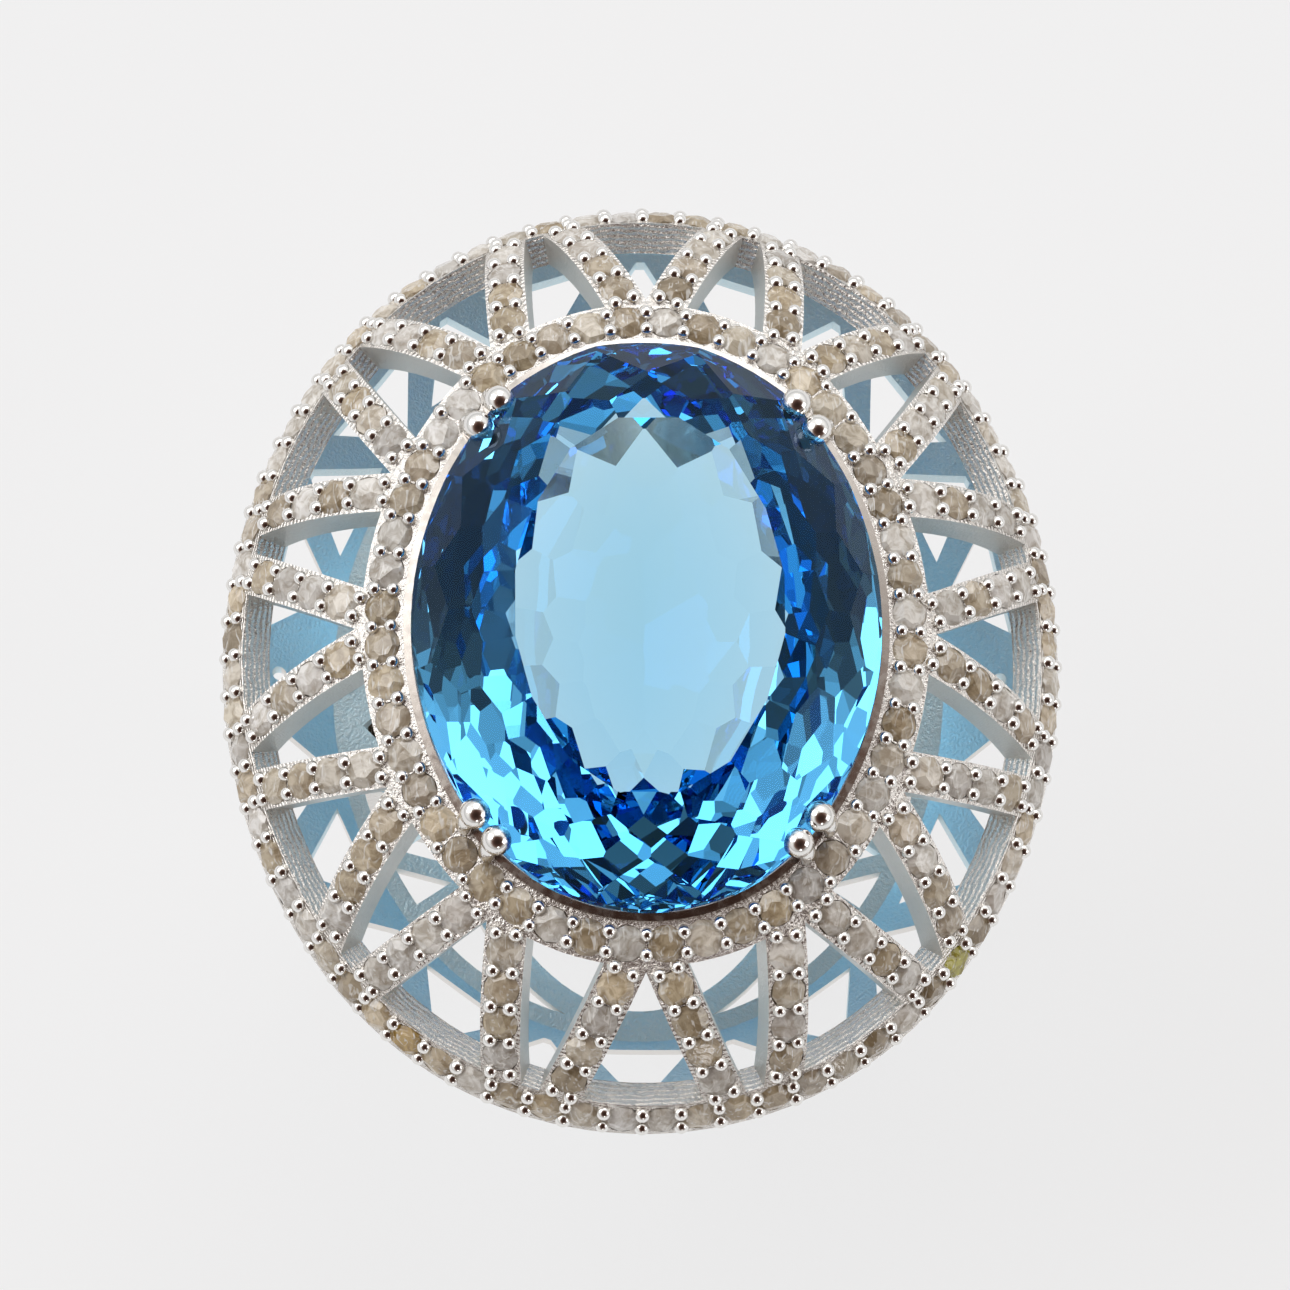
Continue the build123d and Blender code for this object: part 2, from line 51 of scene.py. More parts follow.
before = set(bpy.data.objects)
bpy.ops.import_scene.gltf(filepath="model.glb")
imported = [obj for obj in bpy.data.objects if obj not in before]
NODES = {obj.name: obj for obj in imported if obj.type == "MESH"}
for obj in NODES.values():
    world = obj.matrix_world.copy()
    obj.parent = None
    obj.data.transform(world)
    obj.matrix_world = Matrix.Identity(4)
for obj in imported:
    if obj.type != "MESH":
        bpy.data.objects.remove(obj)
CAD_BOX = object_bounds()
MM = 0.001                    # lengths here are in millimetres unless a comment says metres

STRUT_NUMBERS = [f"{i:02d}" for i in range(1, 13)]
STONE_NODES = ["halo_stones", "rim_stones"] + [f"strut_stones_{n}" for n in STRUT_NUMBERS]
GRAIN_NODES = ["halo_grains", "rim_grains", "strut_grains"]
CLAW_NODES = [f"claw_{corner}_{i}" for corner in ("se", "ne", "nw", "sw") for i in (1, 2)]
DOME_NODES = ["halo_band", "rim_band"] + [f"v_strut_{n}" for n in STRUT_NUMBERS]

GIRDLE_HEIGHT = 17.9          # the centre stone's girdle above the finger hole's centre


def srgb(code, alpha=1.0):
    """A colour given as sRGB hex, in the linear values that Blender works with."""
    parts = [int(code[i:i + 2], 16) / 255 for i in (1, 3, 5)]
    linear = [c / 12.92 if c <= 0.04045 else ((c + 0.055) / 1.055) ** 2.4 for c in parts]
    return (*linear, alpha)


# ---------------------------------------------------------------- shader nodes
def add_node(tree, kind, inputs=None, stops=None, **settings):
    """Adds one node. Its inputs get values, or links from other nodes' sockets; stops fill a ramp."""
    node = tree.nodes.new(kind)
    for name, value in settings.items():
        setattr(node, name, value)
    for place, value in (inputs or {}).items():
        if isinstance(value, NodeSocket):
            tree.links.new(value, node.inputs[place])
        else:
            node.inputs[place].default_value = value
    if stops:
        ramp = node.color_ramp
        while len(ramp.elements) < len(stops):
            ramp.elements.new(1.0)
        for element, (position, colour) in zip(ramp.elements, stops):
            element.position = position
            element.color = colour
    return node


def new_material(name):
    """An empty node material with its output."""
    material = bpy.data.materials.new(name)
    material.use_nodes = True
    material.node_tree.nodes.clear()
    output = add_node(material.node_tree, "ShaderNodeOutputMaterial")
    return material, material.node_tree, output


def finish_with(tree, output, shader):
    """Links a shader to the material's surface."""
    tree.links.new(shader.outputs[0], output.inputs["Surface"])


# ---------------------------------------------------------------- materials
# repeats to a millimetre in each pattern
HAZE_FINENESS = 2.6           # haze of a buffed plate, in patches about 0.4 mm across
MARK_FINENESS = 2.8           # file marks: the band pattern repeats 20 / tau times as often, every 0.11 mm
GRIT_FINENESS = 9.0           # cast grit of about 0.1 mm
CLOUD_FINENESS = 1.9          # clouds in a diamond, about 0.5 mm across
FEATHER_AND_GLINT_FINENESS = 3.4        # feathers in a diamond, partly its own inclusions and partly painted glints, about 0.3 mm wide
FEATHER_AND_GLINT_STRETCH = 0.28        # their width over their length, so that they are about 1 mm long


def polished_silver(name, roughness, tone):
    """Silver with a rhodium plate, tumbled and buffed: a neutral, hard mirror with a breath of haze."""
    material, tree, output = new_material(name)
    place = add_node(tree, "ShaderNodeTexCoord").outputs["Object"]
    haze = add_node(tree, "ShaderNodeTexNoise", {
        "Vector": place, "Scale": HAZE_FINENESS / MM, "Detail": 3.0})
    rough = add_node(tree, "ShaderNodeMapRange", {
        "Value": haze.outputs["Fac"], "From Min": 0.3, "From Max": 0.7,
        "To Min": roughness * 0.6, "To Max": roughness * 1.6})
    dents = add_node(tree, "ShaderNodeBump", {
        "Height": haze.outputs["Fac"], "Strength": 0.12, "Distance": 0.02 * MM})
    finish_with(tree, output, add_node(tree, "ShaderNodeBsdfPrincipled", {
        "Base Color": tone, "Metallic": 1.0, "Roughness": rough.outputs["Result"],
        "Normal": dents.outputs["Normal"]}))
    return material


def set_silver(name, painted_light_colour, painted_light_share, cut_height, grit_share):
    """Cast silver: walls left satin with fine wavy file marks, and faces that look up cut bright.

    A face is cut bright where the height of its normal is over cut_height, so 2.0 leaves every face satin.
    Walls also carry painted cool light, in place of the light that the blue stone throws under itself, and
    the raised grit and marks carry painted sparkle.
    """
    material, tree, output = new_material(name)
    place = add_node(tree, "ShaderNodeTexCoord").outputs["Object"]
    geometry = add_node(tree, "ShaderNodeNewGeometry")
    up = add_node(tree, "ShaderNodeSeparateXYZ", {"Vector": geometry.outputs["True Normal"]})
    outward = add_node(tree, "ShaderNodeMapRange", {
        "Value": up.outputs["Z"], "From Min": cut_height - 0.05,
        "From Max": cut_height + 0.05}).outputs["Result"]
    # the file marks run round the ring, and waver as a hand does
    marks = add_node(tree, "ShaderNodeTexWave", {
        "Vector": place, "Scale": MARK_FINENESS / MM, "Distortion": 5.0, "Detail": 2.0,
        "Detail Scale": 0.4}, wave_type="BANDS", bands_direction="Z")
    grit = add_node(tree, "ShaderNodeTexNoise", {
        "Vector": place, "Scale": GRIT_FINENESS / MM, "Detail": 4.0})
    height = add_node(tree, "ShaderNodeMix", {
        "Factor": grit_share, "A": marks.outputs["Fac"], "B": grit.outputs["Fac"]}, data_type="FLOAT")
    depth = add_node(tree, "ShaderNodeMapRange", {"Value": outward, "To Min": 0.45, "To Max": 0.9})
    worn = add_node(tree, "ShaderNodeBump", {
        "Height": height.outputs["Result"], "Strength": depth.outputs["Result"], "Distance": 0.10 * MM})
    # painted cool light: the blue stone's light under itself is painted into the colour of the walls that
    # look in towards it, or up
    flat = add_node(tree, "ShaderNodeVectorMath", {0: place, 1: (1.0, 1.0, 0.0)}, operation="MULTIPLY")
    spoke = add_node(tree, "ShaderNodeVectorMath", {0: flat.outputs["Vector"]}, operation="NORMALIZE")
    away = add_node(tree, "ShaderNodeVectorMath", {
        0: spoke.outputs["Vector"], 1: geometry.outputs["True Normal"]}, operation="DOT_PRODUCT")
    inwards = add_node(tree, "ShaderNodeMapRange", {
        "Value": away.outputs["Value"], "From Min": 0.05, "From Max": 0.35,
        "To Min": painted_light_share, "To Max": 0.0})
    upwards = add_node(tree, "ShaderNodeMapRange", {
        "Value": up.outputs["Z"], "From Min": -0.5, "From Max": -0.2})
    reached = add_node(tree, "ShaderNodeMath", {
        0: inwards.outputs["Result"], 1: upwards.outputs["Result"]}, operation="MULTIPLY")
    # the satin colour with the painted cool light mixed in
    satin_with_painted_light = add_node(tree, "ShaderNodeMix", {
        "Factor": reached.outputs["Value"], "A": srgb("#E8E4DE"), "B": painted_light_colour}, data_type="RGBA")
    # painted sparkle: the raised grit and file marks are lightened towards near white, as if they caught
    # the light
    shade = add_node(tree, "ShaderNodeMix", {
        "Factor": height.outputs["Result"], "A": satin_with_painted_light.outputs["Result"], "B": srgb("#F6F6F6")},
        data_type="RGBA")
    with_painted_sparkle = add_node(tree, "ShaderNodeMix", {
        "Factor": 0.6, "A": satin_with_painted_light.outputs["Result"], "B": shade.outputs["Result"]}, data_type="RGBA")
    tone = add_node(tree, "ShaderNodeMix", {
        "Factor": outward, "A": with_painted_sparkle.outputs["Result"], "B": srgb("#E6E2DD")}, data_type="RGBA")
    rough = add_node(tree, "ShaderNodeMapRange", {"Value": outward, "To Min": 0.42, "To Max": 0.24})
    finish_with(tree, output, add_node(tree, "ShaderNodeBsdfPrincipled", {
        "Base Color": tone.outputs["Result"], "Metallic": 1.0, "Roughness": rough.outputs["Result"],
        "Normal": worn.outputs["Normal"]}))
    return material


def blue_topaz(name, absorbed, strength):
    """Irradiated topaz, cut and polished: clear, and bluer the further light runs inside it."""
    material, tree, output = new_material(name)
    finish_with(tree, output, add_node(tree, "ShaderNodeBsdfPrincipled", {
        "Base Color": (1.0, 1.0, 1.0, 1.0), "Roughness": 0.0, "IOR": 1.62, "Transmission Weight": 1.0,
        "Specular Tint": srgb("#3F8CCB")}))
    depth = add_node(tree, "ShaderNodeVolumeAbsorption", {"Color": absorbed, "Density": strength})
    tree.links.new(depth.outputs["Volume"], output.inputs["Volume"])
    return material


def rustic_diamond(name):
    """Natural milky diamond, single cut: cloudy beige body, partly clear, with white feathers inside that
    are partly its own inclusions and partly painted glints.
    """
    material, tree, output = new_material(name)
    place = add_node(tree, "ShaderNodeTexCoord").outputs["Object"]
    own = add_node(tree, "ShaderNodeAttribute", attribute_name="stone_tint", attribute_type="GEOMETRY")
    clouds = add_node(tree, "ShaderNodeTexNoise", {
        "Vector": place, "Scale": CLOUD_FINENESS / MM, "Detail": 3.0, "Roughness": 0.6,
        "Distortion": 1.2})
    drawn_out = add_node(tree, "ShaderNodeMapping", {
        "Vector": place, "Scale": (1.0, FEATHER_AND_GLINT_STRETCH, 1.0)})
    feathers_and_glints = add_node(tree, "ShaderNodeTexNoise", {
        "Vector": drawn_out.outputs["Vector"], "Scale": FEATHER_AND_GLINT_FINENESS / MM, "Detail": 1.0,
        "Distortion": 2.0})
    veil = add_node(tree, "ShaderNodeMapRange", {
        "Value": clouds.outputs["Fac"], "From Min": 0.36, "From Max": 0.62})
    darker = add_node(tree, "ShaderNodeMix", {
        "Factor": 0.7, "A": own.outputs["Color"], "B": srgb("#A89A84")}, data_type="RGBA",
        blend_type="MULTIPLY")
    body = add_node(tree, "ShaderNodeMix", {
        "Factor": veil.outputs["Result"], "A": darker.outputs["Result"], "B": own.outputs["Color"]},
        data_type="RGBA")
    # the white streaks: partly the stone's own feathers, partly painted glints
    bright = add_node(tree, "ShaderNodeMapRange", {
        "Value": feathers_and_glints.outputs["Fac"], "From Min": 0.58, "From Max": 0.70, "To Max": 0.7})
    tone = add_node(tree, "ShaderNodeMix", {
        "Factor": bright.outputs["Result"], "A": body.outputs["Result"], "B": srgb("#FFFDF8")},
        data_type="RGBA")
    ripples = add_node(tree, "ShaderNodeBump", {
        "Height": clouds.outputs["Fac"], "Strength": 0.4, "Distance": 0.05 * MM})
    finish_with(tree, output, add_node(tree, "ShaderNodeBsdfPrincipled", {
        "Base Color": tone.outputs["Result"], "Roughness": 0.08, "IOR": 1.8,
        "Transmission Weight": 0.25, "Normal": ripples.outputs["Normal"]}))
    return material


def lit_acrylic(name, tone, glow):
    """Opal acrylic over a light box: an even pale sheet in which shadows nearly vanish."""
    material, tree, output = new_material(name)
    finish_with(tree, output, add_node(tree, "ShaderNodeBsdfPrincipled", {
        "Base Color": tone, "Roughness": 0.9, "Specular IOR Level": 0.1,
        "Emission Color": srgb("#FFFFFF"), "Emission Strength": glow}))
    return material


def put_on(node, material):
    """Gives a CAD node its finish."""
    mesh = NODES[node].data
    mesh.materials.clear()
    mesh.materials.append(material)


# ---------------------------------------------------------------- the centre stone's oval
STONE_HALF_WIDTH = 8.0
END_RADIUS = 7.0
END_CENTRE = 3.0
SIDE_RADIUS = (STONE_HALF_WIDTH**2 + END_CENTRE**2 - END_RADIUS**2) / (2 * (STONE_HALF_WIDTH - END_RADIUS))
SIDE_CENTRE = SIDE_RADIUS - STONE_HALF_WIDTH
JOIN = math.atan2(END_CENTRE, SIDE_CENTRE)     # the direction in which an end arc meets a side arc
ARCS = [                                       # centre, radius, first and last angle
    ((0, -END_CENTRE), END_RADIUS, -math.pi / 2, -JOIN),
    ((-SIDE_CENTRE, 0), SIDE_RADIUS, -JOIN, JOIN),
    ((0, END_CENTRE), END_RADIUS, JOIN, math.pi - JOIN),
    ((SIDE_CENTRE, 0), SIDE_RADIUS, math.pi - JOIN, math.pi + JOIN),
    ((0, -END_CENTRE), END_RADIUS, math.pi + JOIN, 3 * math.pi / 2),
]


def on_oval(share, offset):
    """Point and outward direction, in plan, at a share of the way round the oval, offset outwards."""
    spans = [(last - first) * (radius + offset) for _, radius, first, last in ARCS]
    length = (share % 1.0) * sum(spans)
    for (centre, radius, first, _), span in zip(ARCS, spans):
        if length <= span:
            angle = first + length / (radius + offset)
            out = Vector((math.cos(angle), math.sin(angle), 0))
            return Vector((*centre, 0)) + out * (radius + offset), out
        length -= span
    return on_oval(0.0, offset)


# ---------------------------------------------------------------- cutting stones
ROUGH_SIZE = 30.0             # the block that the centre stone is cut from
GIRDLE_FACETS = 96
GIRDLE_HALF = 0.15            # half the girdle's thickness
CROWN_TABLE = 2.62            # the table above the girdle's middle
# each tier of facets: its width in plan, its slope in degrees, facets in a turn, and its shift in steps
CROWN_TIERS = [(1.0, 46, 16, 0.0), (1.2, 36, 16, 0.5), (1.3, 24, 16, 0.0)]
PAVILION_TIERS = [
    (0.9, 60, 16, 0.5), (1.15, 50, 16, 0.0), (1.25, 42.5, 16, 0.5),
    (1.35, 34, 16, 0.0), (1.2, 28, 16, 0.5), (1.15, 20.5, 16, 0.0),
]
TILT_ERROR = 0.6              # degrees that a facet may stray in slope
STEP_ERROR = 0.03             # and, of a step, along its tier
CENTRE_SEED = 5


def cut(bm, point, normal):
    """Grinds one flat facet: takes away what lies beyond it and closes the face."""
    made = bmesh.ops.bisect_plane(
        bm, geom=bm.verts[:] + bm.edges[:] + bm.faces[:], dist=1e-5,
        plane_co=point, plane_no=normal, clear_outer=True)
    rim = [e for e in made["geom_cut"] if isinstance(e, bmesh.types.BMEdge)]
    if len(rim) > 2:
        bmesh.ops.edgeloop_fill(bm, edges=rim)


def grind_tiers(bm, tiers, side, wander):
    """Grinds staggered tiers from the girdle inwards, above it (side 1) or below it (side -1)."""
    inset, height = 0.0, GIRDLE_HALF
    for width, slope, count, shift in tiers:
        rise = math.tan(math.radians(slope))
        for i in range(count):
            tilt = math.radians(slope + wander.uniform(-TILT_ERROR, TILT_ERROR))
            step = i + shift + wander.uniform(-STEP_ERROR, STEP_ERROR)
            point, out = on_oval(step / count, -(inset + width / 2))
            point.z = side * (height + width / 2 * rise)
            cut(bm, point, Vector((
                out.x * math.sin(tilt), out.y * math.sin(tilt), side * math.cos(tilt))))
        inset += width
        height += width * rise


SMALL_RADIUS = 0.65           # each small stone spreads over its seat's edge, nearly to the next one
SMALL_CROWN = 0.20            # its table above its girdle
SMALL_ROUGH = 1.2             # the height that it is cut from
SMALL_SIDES = (8, 9, 11)      # sides of its outline
SMALL_NARROWEST = 0.93        # its width over its length, at the least
SMALL_FACETS = (5, 6, 7)      # facets round the crown, and as many below
TABLE_RISE = 0.05             # how much higher than the crown a table may lie
TABLE_LEANS = (1, 7)          # degrees
CROWN_SLOPES = (24, 44)       # degrees
PAVILION_SLOPE = 34           # degrees
FACET_INSET = 0.94            # a crown facet's distance from the middle, at the least, over the radius
FACET_ERROR = 0.2             # of a step
CROWN_FROM, PAVILION_FROM = 0.02, -0.03        # where the facets start, from the girdle's middle
STONE_PATTERNS = 14


def rough_single_cut(wander):
    """One small stone, cut by eye: an uneven table and facets. Its table's middle is at the origin."""
    bm = bmesh.new()
    bmesh.ops.create_cone(
        bm, cap_ends=True, segments=wander.choice(SMALL_SIDES), radius1=SMALL_RADIUS,
        radius2=SMALL_RADIUS, depth=SMALL_ROUGH, matrix=Matrix.Translation((0, 0, -SMALL_CROWN)))
    bmesh.ops.scale(bm, vec=(1.0, wander.uniform(SMALL_NARROWEST, 1.0), 1.0), verts=bm.verts[:])
    lean = wander.uniform(0, math.tau)
    nod = math.radians(wander.uniform(*TABLE_LEANS))
    cut(bm, Vector((0, 0, wander.uniform(0.0, TABLE_RISE))),
        Vector((math.sin(nod) * math.cos(lean), math.sin(nod) * math.sin(lean), math.cos(nod))))
    facets = wander.choice(SMALL_FACETS)
    low = math.radians(PAVILION_SLOPE)
    for i in range(facets):
        angle = (i + wander.uniform(-FACET_ERROR, FACET_ERROR)) * math.tau / facets
        slope = math.radians(wander.uniform(*CROWN_SLOPES))
        out = Vector((math.cos(angle), math.sin(angle), 0))
        cut(bm, out * SMALL_RADIUS * wander.uniform(FACET_INSET, 1.0)
            + Vector((0, 0, -SMALL_CROWN + CROWN_FROM)),
            out * math.sin(slope) + Vector((0, 0, math.cos(slope))))
        cut(bm, out * SMALL_RADIUS + Vector((0, 0, -SMALL_CROWN + PAVILION_FROM)),
            out * math.sin(low) - Vector((0, 0, math.cos(low))))
    mesh = bpy.data.meshes.new("stone_pattern")
    bm.to_mesh(mesh)
    bm.free()
    return mesh


# ---------------------------------------------------------------- pieces and their places
def close_piece(name, bm, node, material, smooth):
    """Turns a bmesh in millimetres into a finished piece that rides on the ring and stands for its node."""
    bmesh.ops.scale(bm, vec=(MM, MM, MM), verts=bm.verts[:])
    bmesh.ops.recalc_face_normals(bm, faces=bm.faces[:])
    for face in bm.faces:
        face.smooth = smooth
    mesh = bpy.data.meshes.new(name)
    bm.to_mesh(mesh)
    bm.free()
    mesh.materials.append(material)
    piece = bpy.data.objects.new(name, mesh)
    bpy.context.scene.collection.objects.link(piece)
    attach(piece, "root")
    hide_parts(node)


def small_solids(node):
    """Each separate solid of a CAD node: the middle and outward normal of its widest flat face."""
    bm = bmesh.new()
    bm.from_mesh(NODES[node].data)
    bmesh.ops.remove_doubles(bm, verts=bm.verts[:], dist=1e-6)
    bm.faces.ensure_lookup_table()
    left = set(bm.faces)
    found = []
    while left:
        first = next(iter(left))
        solid, edge = {first}, [first]
        while edge:
            face = edge.pop()
            for near in (f for v in face.verts for f in v.link_faces):
                if near not in solid:
                    solid.add(near)
                    edge.append(near)
        left -= solid
        flats = {}
        for face in solid:
            key = tuple(round(c, 2) for c in face.normal)
            flats.setdefault(key, []).append(face)
        flat = max(flats.values(), key=lambda faces: sum(f.calc_area() for f in faces))
        corners = {v for f in flat for v in f.verts}
        middle = sum((v.co for v in corners), Vector()) / len(corners)
        found.append((middle / MM, flat[0].normal.copy()))
    bm.free()
    found.sort(key=lambda entry: (math.atan2(entry[0].x, -entry[0].y), entry[0].z))
    return found


def add_copy(bm, mesh, place):
    """Adds a copy of a mesh to a bmesh at a place, and returns its vertices."""
    before = len(bm.verts)
    bm.from_mesh(mesh)
    bm.verts.ensure_lookup_table()
    added = bm.verts[before:]
    bmesh.ops.transform(bm, matrix=place, verts=added)
    return added


def standing_at(point, normal, turn):
    """A place with its Z along the normal, turned about it."""
    return (Matrix.Translation(point) @ normal.to_track_quat("Z", "Y").to_matrix().to_4x4()
            @ Matrix.Rotation(turn, 4, "Z"))


BODY_TONES = [
    "#F4EBDC", "#EADFCB", "#E2D3BA", "#E9D8BA", "#D3C2A4", "#FBF7F0", "#F3EEE6", "#E9E4DE", "#DCCFBB",
    "#FFFCF8", "#BFAE92",
]
ODD_STONES = [                # two stones of another colour: their node, their place in plan, their tone
    ("rim_stones", Vector((11.2, -10.9)), "#C9C24E"),
    ("rim_stones", Vector((-8.6, -13.4)), "#C7A660"),
]
STONE_SIZES = (0.98, 1.06)
STONE_SHADES = (0.8, 1.12)


def odd_tones(node, places):
    """The tone of each stone of another colour, by its number among its node's places."""
    odd = {}
    for name, where, code in ODD_STONES:
        if name == node:
            nearest = min(places, key=lambda entry: (entry[0].xy - where).length)
            odd[places.index(nearest)] = srgb(code)
    return odd


GRAIN_SIDES, GRAIN_RINGS = 12, 7
GRAIN_SIZES = (0.9, 1.04)
GRAIN_SEED = 23
PAIR_NEAR, PAIR_FAR = 0.80, 1.02               # between the two grains of one gap


def towards_partner(foot, grains):
    """The direction from a grain to the other grain of its gap, or nothing where a grain stands alone."""
    ways = [other - foot for other, _ in grains if PAIR_NEAR < (other - foot).length < PAIR_FAR]
    return min(ways, key=lambda way: way.length).normalized() if ways else Vector()


# ---------------------------------------------------------------- settings
class RingSettings(PropertyGroup):
    """Sizes and colours that a jeweller might change."""

    grain_radius: FloatProperty(
        name="Grain radius", description="Radius of a raised grain, in millimetres",
        default=0.285, min=0.1, max=0.3)
    grain_pinch: FloatProperty(
        name="Grain pinch", description="How far each grain is pushed over to its partner, in millimetres",
        default=0.12, min=0.0, max=0.2)
    grain_rise: FloatProperty(
        name="Grain rise", description="How far a grain's middle stands off the metal, in millimetres",
        default=0.03, min=0.0, max=0.1)
    stone_depth: FloatProperty(
        name="Stone colour strength", description="Absorption of the centre stone, per metre",
        default=104.0, min=0.0, max=400.0)
    stone_colour: FloatVectorProperty(
        name="Stone colour", description="What the centre stone lets through", subtype="COLOR", size=4,
        min=0.0, max=1.0, default=(0.0, 0.655, 0.93, 1.0))
    metal_colour: FloatVectorProperty(
        name="Polished metal", description="Tone of the polished plate", subtype="COLOR", size=4,
        min=0.0, max=1.0, default=srgb("#EDEBE8"))
    # the colour of the cool light painted on the walls under the stone
    painted_glow_colour: FloatVectorProperty(
        name="Glow under the stone", description="Cool light on the gallery's walls", subtype="COLOR",
        size=4, min=0.0, max=1.0, default=srgb("#C6ECFA"))
    floor_colour: FloatVectorProperty(
        name="Floor", description="Tone of the studio floor", subtype="COLOR", size=4,
        min=0.0, max=1.0, default=srgb("#7C7C7D"))
    floor_glow: FloatProperty(
        name="Floor light", description="Light that comes up through the floor",
        default=0.69, min=0.0, max=2.0)
    seed: IntProperty(
        name="Stone seed", description="Picks the small stones' cuts and tones", default=11, min=0)


def settings():
    return bpy.context.scene.ring_settings


# ---------------------------------------------------------------- operators
class RING_OT_centre_stone(Operator):
    """Cuts the large oval stone facet by facet"""

    bl_idname = "ring.centre_stone"
    bl_label = "Centre stone"

    def execute(self, context):
        ring = settings()
        wander = random.Random(CENTRE_SEED)
        bm = bmesh.new()
        bmesh.ops.create_cube(bm, size=ROUGH_SIZE)
        cut(bm, Vector((0, 0, CROWN_TABLE)), Vector((0, 0, 1)))
        for i in range(GIRDLE_FACETS):
            cut(bm, *on_oval(i / GIRDLE_FACETS, 0.0))
        grind_tiers(bm, CROWN_TIERS, 1, wander)
        grind_tiers(bm, PAVILION_TIERS, -1, wander)
        bmesh.ops.remove_doubles(bm, verts=bm.verts[:], dist=1e-4)
        bmesh.ops.translate(bm, vec=(0, 0, GIRDLE_HEIGHT), verts=bm.verts[:])
        close_piece("centre_topaz", bm, "centre_stone",
                    blue_topaz("irradiated_topaz", ring.stone_colour, ring.stone_depth), False)
        return {"FINISHED"}


class RING_OT_small_stones(Operator):
    """Sets uneven milky single cuts in every small seat"""

    bl_idname = "ring.small_stones"
    bl_label = "Small stones"

    def execute(self, context):
        wander = random.Random(settings().seed)
        patterns = [rough_single_cut(wander) for _ in range(STONE_PATTERNS)]
        material = rustic_diamond("milky_rustic_diamond")
        tones = [srgb(code) for code in BODY_TONES]
        for node in STONE_NODES:
            places = small_solids(node)
            odd = odd_tones(node, places)
            bm = bmesh.new()
            layer = bm.verts.layers.float_color.new("stone_tint")
            for i, (point, normal) in enumerate(places):
                size = wander.uniform(*STONE_SIZES)
                place = standing_at(point, normal, wander.uniform(0, math.tau)) @ Matrix.Scale(size, 4)
                added = add_copy(bm, wander.choice(patterns), place)
                tone = odd.get(i) or wander.choice(tones)
                shade = wander.uniform(*STONE_SHADES)
                for vertex in added:
                    vertex[layer] = (tone[0] * shade, tone[1] * shade, tone[2] * shade, 1.0)
            close_piece(f"{node}_rustic", bm, node, material, False)
        for mesh in patterns:
            bpy.data.meshes.remove(mesh)
        return {"FINISHED"}


class RING_OT_grains(Operator):
    """Raises a round polished grain at every grain of the frame"""

    bl_idname = "ring.grains"
    bl_label = "Grains"

    def execute(self, context):
        ring = settings()
        material = polished_silver("buffed_rhodium_plate_grains", 0.06, ring.metal_colour)
        wander = random.Random(GRAIN_SEED)
        bm = bmesh.new()
        bmesh.ops.create_uvsphere(
            bm, u_segments=GRAIN_SIDES, v_segments=GRAIN_RINGS, radius=ring.grain_radius)
        grain = bpy.data.meshes.new("grain")
        bm.to_mesh(grain)
        bm.free()
        for node in GRAIN_NODES:
            bm = bmesh.new()
            grains = small_solids(node)
            for foot, down in grains:
                size = wander.uniform(*GRAIN_SIZES)
                raised = (foot - down * ring.grain_rise
                          + towards_partner(foot, grains) * ring.grain_pinch)
                place = standing_at(raised, -down, wander.uniform(0, math.tau))
                add_copy(bm, grain, place @ Matrix.Scale(size, 4))
            close_piece(f"{node}_round", bm, node, material, True)
        bpy.data.meshes.remove(grain)
        return {"FINISHED"}


class RING_OT_metalwork(Operator):
    """Finishes the struts, bands, collet, claws, gallery and finger band"""

    bl_idname = "ring.metalwork"
    bl_label = "Metalwork"

    def execute(self, context):
        ring = settings()
        bright = polished_silver("buffed_rhodium_plate", 0.10, ring.metal_colour)
        # both cast finishes carry painted cool light on their inner walls and painted sparkle on their
        # grit; the gallery's painted light is strongest
        dome = set_silver("cast_silver_dome", ring.painted_glow_colour, 0.06, 0.30, 0.75)
        gallery = set_silver("cast_silver_gallery", ring.painted_glow_colour, 0.90, 2.0, 0.95)
        for node in CLAW_NODES:
            put_on(node, bright)
        put_on("finger_band", polished_silver("buffed_silver_band", 0.18, srgb("#CFCBC6")))
        put_on("collet", polished_silver("scraped_silver_collet", 0.22, srgb("#C4BDB6")))
        for node in DOME_NODES:
            put_on(node, dome)
        put_on("under_gallery", gallery)
        return {"FINISHED"}


# ---------------------------------------------------------------- the stage
FLOOR_HALF = 1.5              # metres

DARK_ELEVATION = 60.0         # the dim part of the room, which has no window: its height above the floor
DARK_ASIDE = 16.0             # and how far it lies to the right of the ring's front, in degrees
ROOM_TONES = [                # by the cosine of the angle from the dim part's middle
    (0.0, "#FFFFFF"), (0.50, "#F4F3F2"), (0.66, "#BDB7B3"), (0.74, "#765F55"), (0.86, "#49352E"),
    (1.0, "#2E211C"),
]
ROOM_LIGHT_LOW, ROOM_LIGHT_HIGH = 0.55, 1.15   # strength at the horizon, and well above it
ROOM_BRIGHT_FROM = 0.55       # the sine of the height from which the strength is full

LAMPS = [                     # name, place and width in metres, and power in watts
    ("window_left", Vector((-1.60, 0.55, 1.65)), 1.5, 15.0),
    ("window_back", Vector((0.25, 1.65, 1.70)), 1.3, 10.0),
    ("card_right", Vector((1.90, -0.60, 1.00)), 1.1, 7.0),
    ("card_front", Vector((0.50, -2.20, 0.75)), 0.4, 2.0),
]
LAMP_AIM = Vector((0, 0, 0.015))               # metres

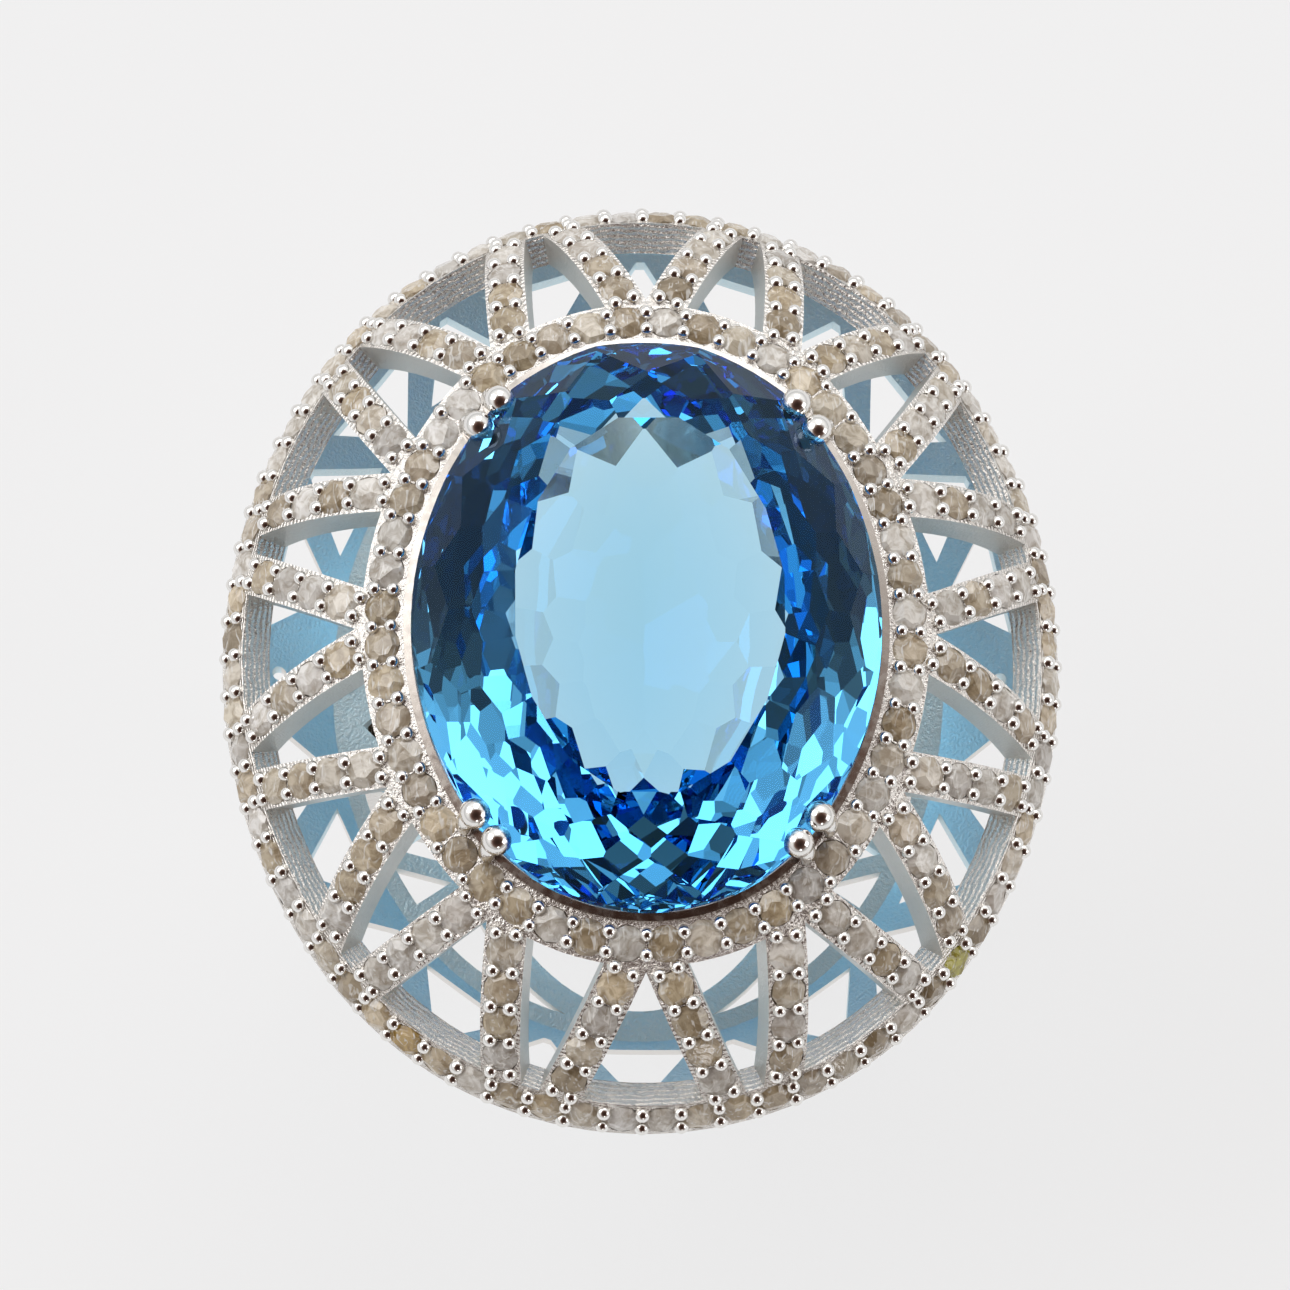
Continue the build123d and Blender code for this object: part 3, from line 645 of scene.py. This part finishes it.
CAMERA_ELEVATION = 74.7       # degrees
CAMERA_ASIDE = 2.0            # degrees that the camera stands to the left of the ring's middle plane
CAMERA_DISTANCE = 230.0
SENSOR_WIDTH = 36.0
VIEW_WIDTH = 43.9             # seen across, at the girdle's height
AIM_ACROSS = -0.07            # the aim, from the girdle's middle: to the right
AIM_UP = -0.71                # and up the picture


def lay_floor(scene):
    """A pale lit sheet under the ring's lowest point."""
    bm = bmesh.new()
    bmesh.ops.create_grid(bm, x_segments=1, y_segments=1, size=FLOOR_HALF)
    bmesh.ops.translate(bm, vec=(0, 0, CAD_BOX[0].z), verts=bm.verts[:])
    mesh = bpy.data.meshes.new("floor")
    bm.to_mesh(mesh)
    bm.free()
    floor = bpy.data.objects.new("floor", mesh)
    mesh.materials.append(lit_acrylic("opal_acrylic", settings().floor_colour, settings().floor_glow))
    scene.collection.objects.link(floor)


def light_room(scene):
    """Pale walls all round, with one dim brown part that the stone's crown and grains mirror."""
    world = bpy.data.worlds.new("studio")
    world.use_nodes = True
    tree = world.node_tree
    tree.nodes.clear()
    way = add_node(tree, "ShaderNodeTexCoord").outputs["Generated"]
    lean, aside = math.radians(DARK_ELEVATION), math.radians(DARK_ASIDE)
    dark = (math.sin(aside) * math.cos(lean), -math.cos(aside) * math.cos(lean), math.sin(lean))
    near = add_node(tree, "ShaderNodeVectorMath", {0: way, 1: dark}, operation="DOT_PRODUCT")
    room = add_node(tree, "ShaderNodeValToRGB", {"Fac": near.outputs["Value"]}, stops=[
        (position, srgb(code)) for position, code in ROOM_TONES])
    height = add_node(tree, "ShaderNodeSeparateXYZ", {"Vector": way})
    strength = add_node(tree, "ShaderNodeMapRange", {
        "Value": height.outputs["Z"], "From Min": 0.0, "From Max": ROOM_BRIGHT_FROM,
        "To Min": ROOM_LIGHT_LOW, "To Max": ROOM_LIGHT_HIGH})
    glow = add_node(tree, "ShaderNodeBackground", {
        "Color": room.outputs["Color"], "Strength": strength.outputs["Result"]})
    end = add_node(tree, "ShaderNodeOutputWorld")
    tree.links.new(glow.outputs[0], end.inputs["Surface"])
    scene.world = world


def hang_lamps(scene):
    """Square soft lamps, all turned to the ring."""
    for name, spot, size, power in LAMPS:
        light = bpy.data.lights.new(name, "AREA")
        light.shape = "SQUARE"
        light.size = size
        light.energy = power
        lamp = bpy.data.objects.new(name, light)
        lamp.location = spot
        lamp.rotation_euler = (LAMP_AIM - spot).to_track_quat("-Z", "Y").to_euler()
        scene.collection.objects.link(lamp)


def set_camera(scene):
    """A long lens, nearly above the ring, with everything sharp."""
    camera = bpy.data.cameras.new("camera")
    camera.sensor_width = SENSOR_WIDTH
    camera.lens = SENSOR_WIDTH / VIEW_WIDTH * CAMERA_DISTANCE
    camera.dof.use_dof = False
    camera.clip_start = 0.01
    camera.clip_end = 10.0
    holder = bpy.data.objects.new("camera", camera)
    lean, aside = math.radians(CAMERA_ELEVATION), math.radians(CAMERA_ASIDE)
    back = Vector((-math.sin(aside), -math.cos(lean) * math.cos(aside), math.sin(lean) * math.cos(aside)))
    top = (Vector((0, 1, 0)) - back * back.y).normalized()
    aim = Vector((AIM_ACROSS, 0, GIRDLE_HEIGHT)) + top * AIM_UP
    holder.location = (aim + back * CAMERA_DISTANCE) * MM
    holder.rotation_euler = Matrix((top.cross(back), top, back)).transposed().to_euler()
    scene.collection.objects.link(holder)
    scene.camera = holder
    scene.view_settings.view_transform = "Standard"


class RING_OT_stage(Operator):
    """Lays the pale floor, hangs the lights and sets the camera"""

    bl_idname = "ring.stage"
    bl_label = "Stage"

    def execute(self, context):
        scene = context.scene
        lay_floor(scene)
        light_room(scene)
        hang_lamps(scene)
        set_camera(scene)
        # light turns back many times inside a faceted stone before it comes out
        scene.cycles.max_bounces = 24
        scene.cycles.glossy_bounces = 16
        scene.cycles.transmission_bounces = 16
        return {"FINISHED"}


class RING_PT_panel(Panel):
    """Lists the ring's pieces in the sidebar"""

    bl_idname = "RING_PT_panel"
    bl_label = "Cocktail ring"
    bl_space_type = "VIEW_3D"
    bl_region_type = "UI"
    bl_category = "Ring"

    def draw(self, context):
        ring = context.scene.ring_settings
        for name in RingSettings.__annotations__:
            self.layout.prop(ring, name)
        for maker in MAKERS:
            self.layout.operator(maker.bl_idname)


MAKERS = (RING_OT_metalwork, RING_OT_grains, RING_OT_small_stones, RING_OT_centre_stone, RING_OT_stage)
CLASSES = (RingSettings, *MAKERS, RING_PT_panel)


def register():
    for cls in CLASSES:
        bpy.utils.register_class(cls)
    bpy.types.Scene.ring_settings = PointerProperty(type=RingSettings)


def unregister():
    del bpy.types.Scene.ring_settings
    for cls in reversed(CLASSES):
        bpy.utils.unregister_class(cls)


def main():
    register()
    bpy.ops.ring.metalwork()
    bpy.ops.ring.grains()
    bpy.ops.ring.small_stones()
    bpy.ops.ring.centre_stone()
    bpy.ops.ring.stage()


if __name__ == "__main__":
    main()
